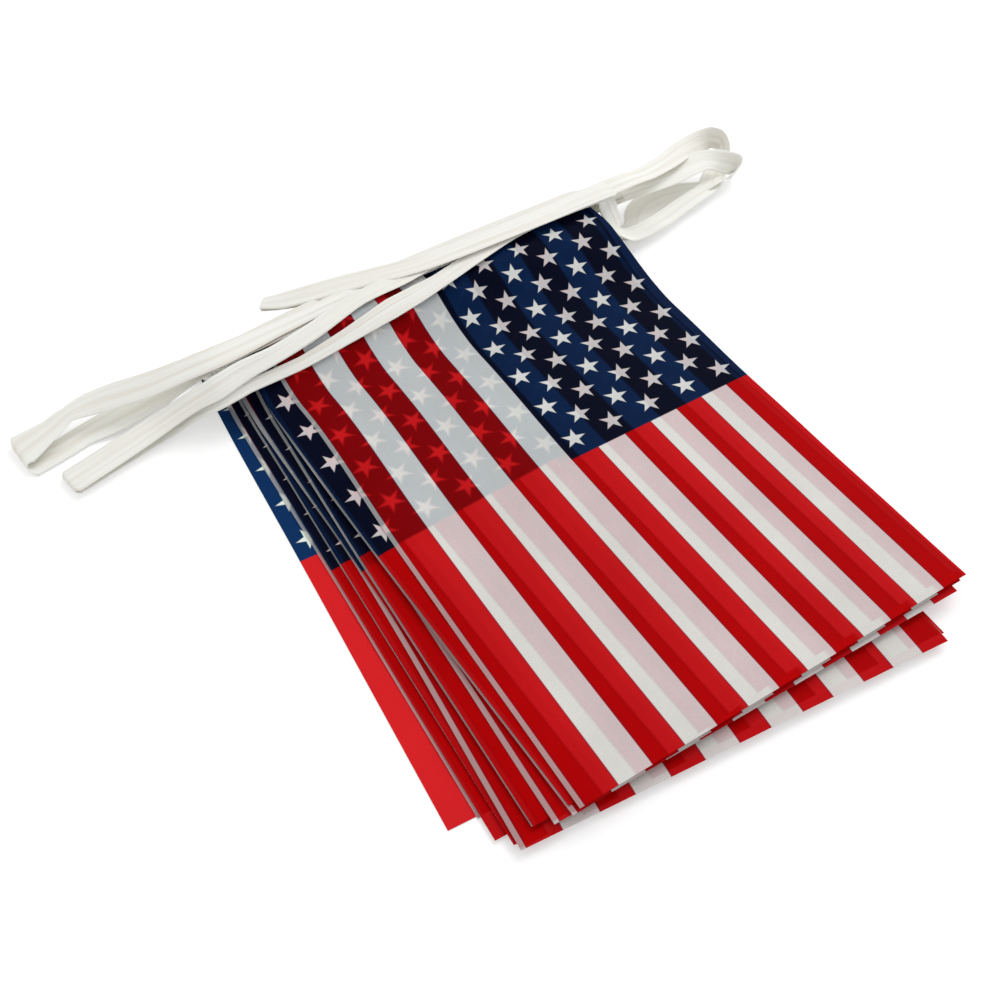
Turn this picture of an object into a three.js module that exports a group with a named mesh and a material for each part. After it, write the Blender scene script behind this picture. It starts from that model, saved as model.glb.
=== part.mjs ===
// A string of printed cloth flags on one continuous header tape, lying folded in a pile.
// Millimetres, +Z up. X runs along the taped edges, the flags hang towards -Y from the tape.
// The pile rests on the plane Z = 0 and the group's origin is the middle of its footprint.
import * as THREE from "three";

// Flags
const FLAG_LENGTH = 440; // visible cloth below the tape, along the stripes
const CANTON_LENGTH = 218; // from the taped edge to the end of the star field
const SHOULDER = 90; // distance below the tape at which the cloth has come down to lie flat
const EDGE_STATIONS = [0, SHOULDER, CANTON_LENGTH, FLAG_LENGTH]; // where an edge's X is stated
const CLOTH = 1; // thickness of one flag
const GAP = 0.3; // clearance between neighbours in the pile
const PITCH = CLOTH + GAP; // layer to layer where the pile lies flat
const TAPED_RISE = 24; // extra height of the top layer where the tape bunches up
const RISE_LINE = 6; // Y of the line that distances along the rise are taken from
const RISE_LEAN = 0.865; // how much shorter the rise is at the left edge, as a share
const RISE_LEAN_WIDTH = 300; // width over which it shortens by that much
const SLUMP_WIDTH = 320; // distance left of the middle at which a flag's slump is stated
const SLUMP_TOP = -10; // Y above which the whole of the slump applies
const SLUMP_DEPTH = 200; // distance below that over which it dies out

// Tape
const TAPE_WIDTH = 20;
const TAPE_THICKNESS = 1;
const SEAM_GAP = 0.3; // between a flag's top edge and the lower edge of its own strand

// Facets
const ACROSS_STEPS = 6;
const DOWN_STATIONS = [0, 13, 23, 32, 41, 50, 59, 68, 78, 89, 101, 114, 130, 218, 330, 440];
const SEAM_SHARES = [-0.015, 1 / 6, 1 / 3, 1 / 2, 2 / 3, 5 / 6, 1.015]; // stations along a seam, part of its length
const STEPS_PER_ROW = 2;
const FOLD_STEPS = 6;
const FOLD_ROUNDING = 0.25; // share of the width that a fold's rounded corners take off

// One row per flag, from the top of the pile to the bottom.
// topX, shoulderX, middleX, lowX: left edge at the tape, at the shoulder, at the canton's end
//   and at the free end; topY, middleY, lowY: the same edge's Y at the tape, canton's end and
//   free end; turnTop, turnLow: degrees clockwise that the cross edge is turned at each end;
//   waist, width: width down to the shoulder, where the tape draws it in, and at the free end;
//   slump: how far the top left corner has slipped down from the line of the taped edge.
const FLAG_COLUMNS = [
  "topX", "shoulderX", "middleX", "lowX", "topY", "middleY", "lowY", "turnTop", "turnLow",
  "waist", "width", "slump",
];
const FLAG_ROWS = [
  [-308, -304.3, -308.5, -311, -3.4, -211.6, -430.5, 0, 0, 303, 311.5, 10],
  [-325, -323, -321.5, -315, 7, -203, -425, 0.4, 0, 312, 312, 15],
  [-323, -324.4, -322.4, -316, 5, -209, -431, 0, 0, 312, 312, 15],
  [-321, -321, -319.5, -316.5, 8, -204, -425, 0.6, 0.4, 312, 312, 15],
  [-320, -320, -319.5, -327.4, 6, -207, -429, 0, 1.1, 317, 317, 14],
  [-322, -325.2, -330.7, -338, 6, -198, -423, 0.5, 1, 312, 312, 13],
  [-324, -327.1, -332.1, -338.6, 8, -200, -422, 1, 1, 312, 312, 10],
  [-331, -333.5, -334.5, -336, 5, -208, -421, 4, 1.5, 312, 312, 4],
  [-336, -336, -335.9, -351, 4, -208.5, -430, 4.5, 5.2, 312, 312, 0],
  [-335, -337.4, -343, -352.4, 6, -193, -424.6, 4.5, 5, 315, 315, 0],
  [-337, -339, -344, -352, 8, -201, -423, 4.5, 5.2, 317, 317, 0],
  [-342, -344.7, -350.2, -359.4, 20, -192.6, -415.6, 2, 2.6, 312, 312, 0],
  [-343, -347.7, -351.4, -360.4, 29, -177, -398, 2.5, 2.4, 312, 312, 0],
  [-350, -356.1, -364.1, -379, 30, -173, -395, 4, 4, 312, 312, 0],
];

// Shape of the rise: distance below the rise line, and the share of the full rise left there.
const RISE_COLUMNS = ["below", "share"];
const RISE_ROWS = [
  [0, 1], [28, 1], [36, 0.95], [46, 0.81], [60, 0.58], [75, 0.35], [90, 0.18], [105, 0.06],
  [116, 0.01], [124, 0],
];

// Tape turns between one strand and the next, in the order the tape runs down the pile.
// past: how far the fold lies beyond the flags' edges.
const TURN_COLUMNS = ["side", "past"];
const TURN_ROWS = [
  ["right", 6], ["left", 8], ["right", 28], ["left", 12], ["right", 40], ["left", 16],
  ["loop", 0], ["left", 8], ["right", 24], ["left", 14], ["right", 30], ["left", 10],
  ["right", 36],
];

// Free runs of the tape: x, y, z of its middle line, the lean of its width from level in degrees
// and the width that it is spread or gathered to.
const RUN_COLUMNS = ["x", "y", "z", "lean", "width"];
// The free end, tucked under the fold that stands out behind the pile.
const TAIL_BACK_ROWS = [
  [-242, 24, 37, 0, 16], [-256, 30, 32.5, 0, 16], [-270, 40, 27.5, 0, 15], [-281, 49, 23.9, 0, 14],
];
// From that fold over the top of the bundle.
const TAIL_ROWS = [
  [-282, 49, 26.5, 0, 14], [-268, 38, 31.5, 0, 20], [-248, 27, 38, 0, 21], [-225, 18, 43, 0, 20],
  [-202, 11, 45.5, 0, 19], [-171, 3, 47.8, 0, 19], [-140, 0, 48.7, 0, 19], [-76, -1, 49, 0, 19],
  [16, 0, 49, 0, 20],
];
// Back along the bundle and over the pile's left edge to the near left fold on the table.
const CROSSING_ROWS = [
  [16, 0, 47.3, 0, 20], [-76, 1, 47.3, 0, 18], [-130, 3, 47.2, 0, 16], [-163, 0, 46.4, 0, 15],
  [-183, -3, 46, -2, 15], [-224, -6, 45.4, -6, 14], [-272, -17.5, 42.5, -22, 14],
  [-305, -22, 40, -28, 14], [-329, -23, 38.2, -32, 16], [-353, -26, 35.3, -32, 18],
  [-370, -21, 27, -24, 17], [-385, -17, 18.5, -12, 19], [-405, -16, 11.5, -6, 21],
  [-435, -21, 8.5, -4, 22], [-471, -28, 6.6, 0, 24],
];
// From there over the pile, round the far right loop, back along the bundle to the far left fold.
const LEAD_ROWS = [
  [-471, -25, 1.2, 0, 24], [-435, -19, 1.2, 0, 20], [-407, -15, 3, 0, 20], [-386, -16, 9, 8, 20],
  [-372, -21, 17.5, 20, 18], [-354, -31, 27.8, 32, 14], [-330, -31.3, 29.4, 34, 10],
  [-300, -31.7, 30.6, 33, 10], [-286, -31.6, 31.3, 32, 10], [-248, -28.1, 34.8, 30, 12],
  [-206, -23.5, 39.6, 23, 17], [-182, -21.3, 41.4, 18, 16], [-161, -19, 43.1, 11, 14],
  [-125, -11.5, 45.1, 2, 15], [-80, -1, 45.4, 0, 16], [-35, 3, 45.4, 0, 19], [10, 4, 45.4, 0, 20],
  [32, 6, 44.4, 0, 20], [50, 11, 39.5, 0, 20], [66, 16, 34, 0, 20], [84, 22, 29.5, 0, 20],
  [104, 29, 26, 4, 20], [124, 38, 21.5, 12, 20], [142, 45, 16.5, 30, 20], [160, 50, 13, 56, 20],
  [171, 50, 12, 78, 20], [176, 43, 11, 84, 20], [172, 35, 8.6, 56, 20], [164, 28, 4.5, 20, 20],
  [154, 20, 3.2, 8, 20], [142, 11, 4, 8, 20], [128, 0, 6.5, 8, 20], [109, -5.5, 7.5, 6, 20],
  [90, -9.5, 7, 4, 20], [70, -14.5, 7, 4, 20], [54, -18.5, 8.5, 4, 20], [38, -20.5, 8.5, 0, 20],
  [24, -20.5, 11, 0, 20], [15, -18, 20, 0, 19], [12, -9, 31, 0, 18], [11, -1, 40, 0, 18],
  [5, 5, 43.3, 0, 19], [-20, 7, 43.4, 0, 20], [-100, 7, 43.4, 0, 20], [-200, 3, 43.4, 0, 20],
  [-239, 3, 43.4, 0, 16], [-265, 1, 43.4, 0, 15], [-292, -1, 43.4, 0, 17], [-321, -3, 43.2, 0, 21],
  [-345, -3, 42, -4, 22], [-368, 3, 36, -10, 21], [-391, 11, 28, -16, 22], [-416, 21, 21, -20, 22],
  [-436, 27, 17, -18, 19], [-452, 28, 14.5, -10, 14], [-467, 24, 11.5, 0, 20],
  [-491, 19, 7.5, 0, 32],
];
// From the far left fold on the table back up to the top flag's strand.
const RETURN_ROWS = [
  [-489, 11, 1.2, 0, 32], [-466, 11, 1.2, 0, 22], [-447, 15, 1.5, 0, 22], [-426, 15, 4, 0, 27],
  [-404, 13, 9, 0, 28], [-382, 7, 18, 0, 26], [-364, 1, 29, 0, 20], [-346, -2, 38.3, 0, 20],
  [-331, -4, 41.1, 0, 20],
];
// Loop that stands out at the right between two strands in the middle of the pile.
const SIDE_LOOP_ROWS = [
  [10, 15, 22.5, 0, 20], [44, 17, 22.5, 0, 24], [76, 17, 22, 2, 28], [101, 19, 20, 4, 28],
  [120, 21, 18.5, 4, 26], [136, 20, 18.5, 14, 22], [145, 17, 17.5, 32, 20],
  [153, 12.5, 15.5, 54, 20], [163, 4, 12.4, 74, 20], [158, -1, 10.8, 68, 20],
  [146, -1, 8.8, 44, 20], [126, 4, 5, 16, 22], [104, 11, 3.2, 4, 28], [84, 13, 3.1, 0, 28],
  [68, 11, 3, 0, 28], [56, 5, 3, 0, 26], [46, -5, 3.2, 0, 22], [38, -10, 3.5, 0, 20],
  [26, -10, 4, 0, 20], [14, -8, 10, 0, 20], [2, -8, 17.8, 0, 20],
];
// End of the bottom flag's strand.
const LAST_END = { x: -364, y: 41.2, z: 0.5, lean: 0, width: 20 };

const UP = new THREE.Vector3(0, 0, 1);

// Turns rows of numbers into objects with named fields.
function named(columns, rows) {
  return rows.map((row) => Object.fromEntries(columns.map((name, i) => [name, row[i]])));
}

const flags = named(FLAG_COLUMNS, FLAG_ROWS);
const rises = named(RISE_COLUMNS, RISE_ROWS);
const turns = named(TURN_COLUMNS, TURN_ROWS);
const lowest = flags.length - 1;

// Share of the full rise at a place in the plan.
function riseShare(x, y) {
  const below = (RISE_LINE - y) * (1 + (RISE_LEAN * Math.max(-x, 0)) / RISE_LEAN_WIDTH);
  if (below <= 0) return 1;
  for (let i = 1; i < rises.length; i += 1) {
    const a = rises[i - 1];
    const b = rises[i];
    if (below <= b.below) {
      return a.share + ((b.share - a.share) * (below - a.below)) / (b.below - a.below);
    }
  }
  return 0;
}

// Height of a layer's middle surface at a place in the plan.
function layerHeight(layer, x, y) {
  const under = lowest - layer;
  return CLOTH / 2 + under * PITCH + (TAPED_RISE * under * riseShare(x, y)) / lowest;
}

// A closed slab between an upper and a lower grid of points with the same number of columns.
function slabGeometry(upper, lower) {
  const rows = upper.length;
  const cols = upper[0].length;
  const positions = [...upper.flat(), ...lower.flat()].flatMap((p) => [p.x, p.y, p.z]);
  const top = (r, c) => r * cols + c;
  const bottom = (r, c) => rows * cols + r * cols + c;
  const index = [];
  const quad = (a, b, c, d) => index.push(a, b, c, a, c, d);
  for (let r = 0; r < rows - 1; r += 1) {
    for (let c = 0; c < cols - 1; c += 1) {
      quad(top(r, c), top(r + 1, c), top(r + 1, c + 1), top(r, c + 1));
      quad(bottom(r, c), bottom(r, c + 1), bottom(r + 1, c + 1), bottom(r + 1, c));
    }
    quad(top(r, 0), bottom(r, 0), bottom(r + 1, 0), top(r + 1, 0));
    quad(top(r, cols - 1), top(r + 1, cols - 1), bottom(r + 1, cols - 1), bottom(r, cols - 1));
  }
  for (let c = 0; c < cols - 1; c += 1) {
    quad(top(0, c), top(0, c + 1), bottom(0, c + 1), bottom(0, c));
    quad(top(rows - 1, c), bottom(rows - 1, c), bottom(rows - 1, c + 1), top(rows - 1, c + 1));
  }
  const geometry = new THREE.BufferGeometry();
  geometry.setAttribute("position", new THREE.Float32BufferAttribute(positions, 3));
  geometry.setIndex(index);
  geometry.computeVertexNormals();
  return geometry;
}

// Left edge of a flag at each station; x and y are in the plan, z carries the turn in degrees.
function flagEdge(flag) {
  const turnAt = (down) => THREE.MathUtils.lerp(flag.turnTop, flag.turnLow, down / FLAG_LENGTH);
  const shoulderY = flag.middleY + CANTON_LENGTH - SHOULDER;
  return [
    new THREE.Vector3(flag.topX, flag.topY, turnAt(0)),
    new THREE.Vector3(flag.shoulderX, shoulderY, turnAt(SHOULDER)),
    new THREE.Vector3(flag.middleX, flag.middleY, turnAt(CANTON_LENGTH)),
    new THREE.Vector3(flag.lowX, flag.lowY, turnAt(FLAG_LENGTH)),
  ];
}

// Slope of the edge at a station, per millimetre below the tape.
function edgeSlope(edge, i) {
  const a = Math.max(i - 1, 0);
  const b = Math.min(i + 1, edge.length - 1);
  return edge[b].clone().sub(edge[a]).divideScalar(EDGE_STATIONS[b] - EDGE_STATIONS[a]);
}

// Place on the left edge a given distance below the tape, on a smooth curve.
function edgePoint(edge, down) {
  let i = 0;
  while (i < 2 && down > EDGE_STATIONS[i + 1]) i += 1;
  const span = EDGE_STATIONS[i + 1] - EDGE_STATIONS[i];
  const t = (down - EDGE_STATIONS[i]) / span;
  const start = edge[i].clone().multiplyScalar(2 * t ** 3 - 3 * t ** 2 + 1);
  start.addScaledVector(edgeSlope(edge, i), (t ** 3 - 2 * t ** 2 + t) * span);
  start.addScaledVector(edge[i + 1], 3 * t ** 2 - 2 * t ** 3);
  start.addScaledVector(edgeSlope(edge, i + 1), (t ** 3 - t ** 2) * span);
  return start;
}

// Width of a flag a given distance below the tape.
function widthAt(flag, down) {
  const share = Math.max(down - SHOULDER, 0) / (FLAG_LENGTH - SHOULDER);
  return THREE.MathUtils.lerp(flag.waist, flag.width, share);
}

// Slip of a flag and its strand towards -Y at a place in the plan.
function slumpAt(flag, x, y) {
  const side = Math.max(-x, 0) / SLUMP_WIDTH;
  const up = THREE.MathUtils.smoothstep(y, SLUMP_TOP - SLUMP_DEPTH, SLUMP_TOP);
  return flag.slump * side ** 3 * up;
}

// Plan position on a flag, across from its left edge and down from the tape.
function planPoint(flag, curve, across, down) {
  const edge = edgePoint(curve, down);
  const turn = THREE.MathUtils.degToRad(edge.z);
  const x = edge.x + across * Math.cos(turn);
  const y = edge.y - across * Math.sin(turn);
  return new THREE.Vector2(x, y - slumpAt(flag, x, y));
}

// One flag: a sheet that lies flat and climbs to its strand of tape.
function flagGeometry(flag, layer) {
  const curve = flagEdge(flag);
  const upper = [];
  const lower = [];
  for (const down of DOWN_STATIONS) {
    const upperRow = [];
    const lowerRow = [];
    for (let i = 0; i <= ACROSS_STEPS; i += 1) {
      const p = planPoint(flag, curve, (widthAt(flag, down) * i) / ACROSS_STEPS, down);
      const z = layerHeight(layer, p.x, p.y);
      upperRow.push(new THREE.Vector3(p.x, p.y, z + CLOTH / 2));
      lowerRow.push(new THREE.Vector3(p.x, p.y, z - CLOTH / 2));
    }
    upper.push(upperRow);
    lower.push(lowerRow);
  }
  return slabGeometry(upper, lower);
}

// Middle line of the strand sewn to a flag, at a distance along the flag's top edge.
function strandPoint(layer, along) {
  const flag = flags[layer];
  const turn = THREE.MathUtils.degToRad(flag.turnTop);
  const out = TAPE_WIDTH / 2 + SEAM_GAP;
  const x = flag.topX + along * Math.cos(turn) + out * Math.sin(turn);
  const unslumped = flag.topY - along * Math.sin(turn) + out * Math.cos(turn);
  const y = unslumped - slumpAt(flag, x, unslumped);
  return new THREE.Vector3(x, y, layerHeight(layer, x, y));
}

// Level direction across the tape for a given tangent; flip is +1 or -1.
function levelAcross(tangent, flip) {
  return new THREE.Vector3().crossVectors(UP, tangent).normalize().multiplyScalar(flip);
}

// Stations along a run through rows: seamed rows are joined straight, the others smoothly.
function runStations(rows, flip) {
  const points = rows.map((row) => new THREE.Vector3(row.x, row.y, row.z));
  const curve = new THREE.CatmullRomCurve3(points, false, "centripetal");
  const last = rows.length - 1;
  const stations = [];
  for (let k = 0; k <= last; k += 1) {
    const seamed = rows[k].along !== undefined;
    const straight = k === last || (seamed && rows[k + 1].along !== undefined);
    const steps = straight ? 1 : STEPS_PER_ROW;
    for (let i = 0; i < steps; i += 1) {
      const t = Math.min((k + i / steps) / last, 1);
      const tangent = seamed && i === 0 ? rows[k].along.clone() : curve.getTangent(t);
      const next = rows[Math.min(k + 1, last)];
      const level = levelAcross(tangent, flip);
      const rise = new THREE.Vector3().crossVectors(tangent, level).normalize();
      const lean = seamed
        ? Math.atan(rows[k].slope) * Math.sign(level.y * rise.z)
        : THREE.MathUtils.degToRad(THREE.MathUtils.lerp(rows[k].lean, next.lean, i / steps));
      const width = level.multiplyScalar(Math.cos(lean)).addScaledVector(rise, Math.sin(lean));
      const spread = THREE.MathUtils.lerp(rows[k].width, next.width, i / steps);
      stations.push({ point: curve.getPoint(t), tangent, width, spread });
    }
  }
  return stations;
}

// Stations round a flat fold that takes the tape from one run's end to the next one's start.
function foldStations(from, to) {
  const stations = [];
  const middle = from.point.clone().lerp(to.point, 0.5);
  const arm = from.point.clone().sub(middle);
  const reach = arm.length();
  const forward = from.tangent.clone().setZ(0).normalize();
  for (let i = 1; i < FOLD_STEPS; i += 1) {
    const turn = (Math.PI * i) / FOLD_STEPS;
    const point = middle
      .clone()
      .addScaledVector(arm, Math.cos(turn))
      .addScaledVector(forward, reach * Math.sin(turn));
    const tangent = forward
      .clone()
      .multiplyScalar(Math.cos(turn))
      .addScaledVector(arm.clone().normalize(), -Math.sin(turn));
    const width = from.width.clone().lerp(to.width, i / FOLD_STEPS).normalize();
    const rounded = 1 - FOLD_ROUNDING * Math.sin(turn);
    const spread = THREE.MathUtils.lerp(from.spread, to.spread, i / FOLD_STEPS) * rounded;
    stations.push({ point, tangent, width, spread });
  }
  return stations;
}

// The place where the tape folds between two strands, beyond the flags on the given side.
function turnPoint(upperLayer, turn) {
  const sign = turn.side === "right" ? 1 : -1;
  const ends = [upperLayer, upperLayer + 1].map((layer) => {
    const along = sign > 0 ? flags[layer].waist : 0;
    return strandPoint(layer, along);
  });
  const edgeX = sign > 0 ? Math.max(ends[0].x, ends[1].x) : Math.min(ends[0].x, ends[1].x);
  return new THREE.Vector2(edgeX + sign * turn.past, (ends[0].y + ends[1].y) / 2);
}

// Rows for a strand from its start to its end, in the order in which the tape runs.
function strandRows(layer, startPlan, endPlan, leftToRight) {
  const flag = flags[layer];
  const sense = leftToRight ? 1 : -1;
  const turn = THREE.MathUtils.degToRad(flag.turnTop);
  const along = new THREE.Vector3(Math.cos(turn), -Math.sin(turn), 0).multiplyScalar(sense);
  const seam = SEAM_SHARES.map((share) => {
    const { x, y, z } = strandPoint(layer, share * flag.waist);
    const half = TAPE_WIDTH / 2;
    const slope = (layerHeight(layer, x, y + half) - layerHeight(layer, x, y - half)) / TAPE_WIDTH;
    return { x, y, z, lean: 0, width: TAPE_WIDTH, slope, along };
  });
  if (!leftToRight) seam.reverse();
  const atFold = ({ x, y }) => ({ x, y, z: layerHeight(layer, x, y), lean: 0, width: TAPE_WIDTH });
  const ends = [startPlan, endPlan].map((plan) => (plan ? [atFold(plan)] : []));
  return [...ends[0], ...seam, ...ends[1]];
}

// Every run of the tape in order, each with the side its width points to.
function tapeStations() {
  const sideLoop = named(RUN_COLUMNS, SIDE_LOOP_ROWS);
  const loose = [TAIL_BACK_ROWS, TAIL_ROWS, CROSSING_ROWS, LEAD_ROWS];
  const runs = loose.map((rows) => named(RUN_COLUMNS, rows));
  let start = null;
  let current = named(RUN_COLUMNS, RETURN_ROWS);
  for (let layer = 0; layer <= lowest; layer += 1) {
    const leftToRight = layer % 2 === 0;
    const turn = layer < lowest ? turns[layer] : null;
    const folds = turn !== null && turn.side !== "loop";
    const end = folds ? turnPoint(layer, turn) : null;
    const rows = strandRows(layer, start, end, leftToRight);
    current.push(...rows);
    if (turn !== null && turn.side === "loop") {
      current.push(...sideLoop);
      start = null;
    } else if (layer < lowest) {
      runs.push(current);
      current = [];
      start = end;
    }
  }
  runs.push([...current, LAST_END]);
  const stations = [];
  let flip = -1;
  for (const rows of runs) {
    const run = runStations(rows, flip);
    if (stations.length > 0) {
      const last = stations[stations.length - 1];
      stations.push(...foldStations(last, run[0]));
    }
    stations.push(...run);
    flip = -flip;
  }
  return stations;
}

// The whole tape as one solid ribbon.
function tapeGeometry() {
  const upper = [];
  const lower = [];
  for (const { point, tangent, width, spread } of tapeStations()) {
    const normal = new THREE.Vector3().crossVectors(tangent, width).normalize();
    const sides = [-spread / 2, spread / 2].map((offset) =>
      point.clone().addScaledVector(width, offset),
    );
    upper.push(sides.map((p) => p.clone().addScaledVector(normal, TAPE_THICKNESS / 2)));
    lower.push(sides.map((p) => p.clone().addScaledVector(normal, -TAPE_THICKNESS / 2)));
  }
  return slabGeometry(upper, lower);
}

const group = new THREE.Group();

flags.forEach((flag, layer) => {
  const material = new THREE.MeshStandardMaterial({ color: 0xb51f2c, roughness: 0.6 });
  const mesh = new THREE.Mesh(flagGeometry(flag, layer), material);
  mesh.name = `flag_${String(layer + 1).padStart(2, "0")}`;
  group.add(mesh);
});

const tape = new THREE.Mesh(
  tapeGeometry(),
  new THREE.MeshStandardMaterial({ color: 0xf1efe9, roughness: 0.5 }),
);
tape.name = "header_tape";
group.add(tape);

const box = new THREE.Box3().setFromObject(group);
const centre = box.getCenter(new THREE.Vector3());
group.position.set(-centre.x, -centre.y, -box.min.z);

export default group;
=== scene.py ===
"""A string of printed cloth flags, folded back and forth into a pile on its white tape."""

import logging
import math
from dataclasses import dataclass, field
from enum import Enum

import bpy
import numpy as np
from mathutils import Matrix, Vector

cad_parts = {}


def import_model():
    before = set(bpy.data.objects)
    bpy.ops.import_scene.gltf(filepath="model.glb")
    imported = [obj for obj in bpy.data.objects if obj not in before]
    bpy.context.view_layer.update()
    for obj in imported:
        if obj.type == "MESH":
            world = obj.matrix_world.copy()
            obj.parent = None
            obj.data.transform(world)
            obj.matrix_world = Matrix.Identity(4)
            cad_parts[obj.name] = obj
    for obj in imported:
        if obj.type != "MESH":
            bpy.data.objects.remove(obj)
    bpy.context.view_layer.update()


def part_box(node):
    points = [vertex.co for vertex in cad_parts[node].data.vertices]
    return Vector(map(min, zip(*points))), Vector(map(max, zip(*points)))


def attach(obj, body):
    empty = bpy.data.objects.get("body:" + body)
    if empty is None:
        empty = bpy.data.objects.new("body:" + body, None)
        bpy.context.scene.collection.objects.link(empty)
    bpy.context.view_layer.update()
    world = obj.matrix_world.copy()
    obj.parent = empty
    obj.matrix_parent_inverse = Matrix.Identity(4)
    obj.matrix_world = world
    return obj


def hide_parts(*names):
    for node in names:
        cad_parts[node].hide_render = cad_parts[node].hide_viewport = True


LOG = logging.getLogger("flag_string")
MM = 0.001
BODY = "root"
Array = np.ndarray
Colour = tuple[float, float, float, float]
Socket = bpy.types.NodeSocket
# UV layers: a place on the flag's own print, then on the prints of the two flags beneath it.
PLACE_LAYERS = ("print", "under_1", "under_2")
RANGE_INPUTS = ("From Min", "From Max", "To Min", "To Max")
STAR_POINTS = 5


class Facing(Enum):
    """Long edge that a flag's star field lies against, seen from above, as a sign of X."""

    RIGHT = 1
    LEFT = -1


@dataclass(frozen=True)
class FlagPlace:
    """Where one flag lies: its left edge at four stations, its turns, its widths and its slip."""

    top_x: float
    shoulder_x: float
    middle_x: float
    low_x: float
    top_y: float
    middle_y: float
    low_y: float
    turn_top: float
    turn_low: float
    slump: float
    waist: float = 312.0
    width: float = 312.0


# One row per flag, from the top of the pile to the bottom.
FLAG_PLACES: tuple[FlagPlace, ...] = (
    FlagPlace(-308, -304.3, -308.5, -311, -3.4, -211.6, -430.5, 0, 0, 10, 303, 311.5),
    FlagPlace(-325, -323, -321.5, -315, 7, -203, -425, 0.4, 0, 15),
    FlagPlace(-323, -324.4, -322.4, -316, 5, -209, -431, 0, 0, 15),
    FlagPlace(-321, -321, -319.5, -316.5, 8, -204, -425, 0.6, 0.4, 15),
    FlagPlace(-320, -320, -319.5, -327.4, 6, -207, -429, 0, 1.1, 14, 317, 317),
    FlagPlace(-322, -325.2, -330.7, -338, 6, -198, -423, 0.5, 1, 13),
    FlagPlace(-324, -327.1, -332.1, -338.6, 8, -200, -422, 1, 1, 10),
    FlagPlace(-331, -333.5, -334.5, -336, 5, -208, -421, 4, 1.5, 4),
    FlagPlace(-336, -336, -335.9, -351, 4, -208.5, -430, 4.5, 5.2, 0),
    FlagPlace(-335, -337.4, -343, -352.4, 6, -193, -424.6, 4.5, 5, 0, 315, 315),
    FlagPlace(-337, -339, -344, -352, 8, -201, -423, 4.5, 5.2, 0, 317, 317),
    FlagPlace(-342, -344.7, -350.2, -359.4, 20, -192.6, -415.6, 2, 2.6, 0),
    FlagPlace(-343, -347.7, -351.4, -360.4, 29, -177, -398, 2.5, 2.4, 0),
    FlagPlace(-350, -356.1, -364.1, -379, 30, -173, -395, 4, 4, 0),
)


# How far past the flags the tape folds from each strand to the next, from the top of the pile.
# It folds where the strand ends, on the star side; None is where it runs out into the side loop.
TURNS_PAST: tuple[float | None, ...] = (6, 8, 28, 12, 40, 16, None, 8, 24, 14, 30, 10, 36)


@dataclass(frozen=True)
class TapeRow:
    """A point on the tape's middle line, the lean of its width and how wide it lies.

    Where the tape is sewn to a flag, along is its run in the plan and slope that of the cloth.
    """

    x: float
    y: float
    z: float
    lean: float = 0.0
    width: float = 20.0
    along: tuple[float, float] | None = None
    slope: float = 0.0


def tape_rows(*rows: tuple[float, ...]) -> list[TapeRow]:
    """Names the numbers of a run.

    Args:
        rows: x, y, z, lean and width of each row; a level row of full width gives x, y and z.

    Returns:
        The rows as TapeRow.
    """
    return [TapeRow(*row) for row in rows]


# Runs of the loose tape in the order in which it goes, down to the first strand. The loop hangs
# half way down the pile, and the last end lies on the table.
TAIL_BACK = tape_rows(
    (-242, 24, 37, 0, 16), (-256, 30, 32.5, 0, 16), (-270, 40, 27.5, 0, 15),
    (-281, 49, 23.9, 0, 14),
)
TAIL = tape_rows(
    (-282, 49, 26.5, 0, 14), (-268, 38, 31.5), (-248, 27, 38, 0, 21), (-225, 18, 43),
    (-202, 11, 45.5, 0, 19), (-171, 3, 47.8, 0, 19), (-140, 0, 48.7, 0, 19), (-76, -1, 49, 0, 19),
    (16, 0, 49),
)
CROSSING = tape_rows(
    (16, 0, 47.3), (-76, 1, 47.3, 0, 18), (-130, 3, 47.2, 0, 16), (-163, 0, 46.4, 0, 15),
    (-183, -3, 46, -2, 15), (-224, -6, 45.4, -6, 14), (-272, -17.5, 42.5, -22, 14),
    (-305, -22, 40, -28, 14), (-329, -23, 38.2, -32, 16), (-353, -26, 35.3, -32, 18),
    (-370, -21, 27, -24, 17), (-385, -17, 18.5, -12, 19), (-405, -16, 11.5, -6, 21),
    (-435, -21, 8.5, -4, 22), (-471, -28, 6.6, 0, 24),
)
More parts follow.
